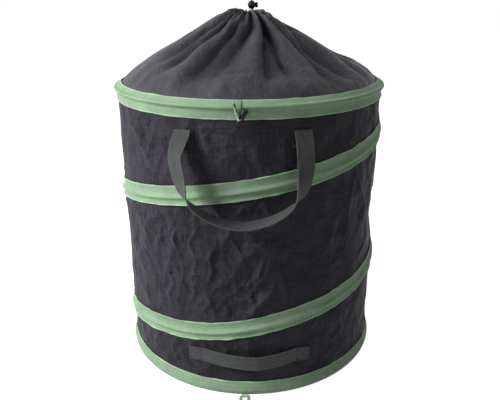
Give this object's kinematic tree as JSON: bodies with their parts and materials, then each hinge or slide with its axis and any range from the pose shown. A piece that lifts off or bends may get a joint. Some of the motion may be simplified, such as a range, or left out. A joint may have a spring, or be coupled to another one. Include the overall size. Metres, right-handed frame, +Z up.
{
  "type": "pop up leaf bag",
  "caption": "Self-standing round fabric leaf bag held open by steel hoops and a spiral spring, with a drawcord closure and webbing carry handles.",
  "frame": {"origin": "on the floor, on the bag's vertical axis", "axes": "+Z up along the bag's axis, -Y towards the front with the tipping handle, +X to the right seen from the front"},
  "size_m": [0.5078, 0.5718, 0.7028],
  "materials": {
    "wall_fabric": "coated woven polyester, charcoal",
    "closure_fabric": "thin woven polyester with a slight satin sheen, charcoal",
    "tape": "woven binding tape, light green",
    "webbing": "flat woven webbing, dark grey",
    "cord": "braided round cord, black",
    "steel": "drawn spring steel wire",
    "plastic": "moulded plastic, glossy black"
  },
  "bodies": {
    "base": {"bottom_hoop_wire": "steel", "bottom_hoop_ferrule": "steel", "bottom_tape": "tape", "bottom_panel": "wall_fabric", "side_wall": "wall_fabric", "spiral_wire": "steel", "spiral_tape": "tape", "spiral_cap_lower": "plastic", "tipping_handle": "webbing", "front_loop_tab": "tape", "rear_loop_tab": "tape"},
    "top_frame": {"top_hoop_wire": "steel", "top_hoop_ferrule": "steel", "top_tape": "tape", "top_closure": "closure_fabric", "drawcord_ring": "cord", "drawcord_tail_left": "cord", "drawcord_tail_right": "cord", "drawcord_knot": "cord", "spiral_cap_upper": "plastic", "front_handle_patch_left": "webbing", "front_handle_patch_right": "webbing", "rear_handle_patch_left": "webbing", "rear_handle_patch_right": "webbing"},
    "front_carry": {"front_handle": "webbing"},
    "rear_carry": {"rear_handle": "webbing"},
    "cord_lock": {"cord_lock_body": "plastic", "cord_lock_spring": "steel"},
    "lock_button": {"cord_lock_button": "plastic"},
    "front_toggle_cord": {"front_toggle_loop": "tape"},
    "front_toggle": {"front_toggle_bar": "plastic"},
    "rear_toggle_cord": {"rear_toggle_loop": "tape"},
    "rear_toggle": {"rear_toggle_bar": "plastic"},
    "front_fold_loop": {"front_folding_loop": "tape"},
    "rear_fold_loop": {"rear_folding_loop": "tape"}
  },
  "joints": [
    {"name": "collapse", "type": "slide", "parent": "base", "child": "top_frame", "axis": [0, 0, -1], "range_m": [0, 0.47], "stiffness_N_per_m": 60, "springref_m": -0.25, "deforming": ["side_wall", "spiral_wire", "spiral_tape", "tipping_handle", "front_handle_patch_left", "front_handle_patch_right", "rear_handle_patch_left", "rear_handle_patch_right", "front_handle", "rear_handle"]},
    {"name": "front_handle_swing", "type": "hinge", "parent": "top_frame", "child": "front_carry", "pos_m": [0, -0.2319, 0.4915], "axis": [-1, 0, 0], "range_deg": [0, 125]},
    {"name": "rear_handle_swing", "type": "hinge", "parent": "top_frame", "child": "rear_carry", "pos_m": [0, 0.2319, 0.4855], "axis": [1, 0, 0], "range_deg": [0, 125]},
    {"name": "lock_slide", "type": "slide", "parent": "top_frame", "child": "cord_lock", "axis": [0, 0, 1], "range_m": [0, 0.015]},
    {"name": "lock_press", "type": "slide", "parent": "cord_lock", "child": "lock_button", "axis": [-1, 0, 0], "range_m": [0, 0.0015], "stiffness_N_per_m": 1200, "springref_m": -0.001, "deforming": ["cord_lock_spring"]},
    {"name": "front_toggle_lift", "type": "hinge", "parent": "top_frame", "child": "front_toggle_cord", "pos_m": [-0.00533, -0.23971, 0.54117], "axis": [-1, 0, 0], "range_deg": [0, 150]},
    {"name": "front_toggle_swivel", "type": "hinge", "parent": "front_toggle_cord", "child": "front_toggle", "pos_m": [0, -0.25928, 0.515], "axis": [0, 1, 0], "range_deg": [-15, 20]},
    {"name": "rear_toggle_lift", "type": "hinge", "parent": "top_frame", "child": "rear_toggle_cord", "pos_m": [0.00533, 0.23971, 0.54117], "axis": [1, 0, 0], "range_deg": [0, 150]},
    {"name": "rear_toggle_swivel", "type": "hinge", "parent": "rear_toggle_cord", "child": "rear_toggle", "pos_m": [0, 0.25928, 0.515], "axis": [0, -1, 0], "range_deg": [-15, 20]},
    {"name": "front_fold_loop_swing", "type": "hinge", "parent": "base", "child": "front_fold_loop", "pos_m": [0, -0.25713, 0.0032], "axis": [-1, 0, 0], "range_deg": [0, 95]},
    {"name": "rear_fold_loop_swing", "type": "hinge", "parent": "base", "child": "rear_fold_loop", "pos_m": [0, 0.25713, 0.0032], "axis": [1, 0, 0], "range_deg": [0, 95]}
  ]
}
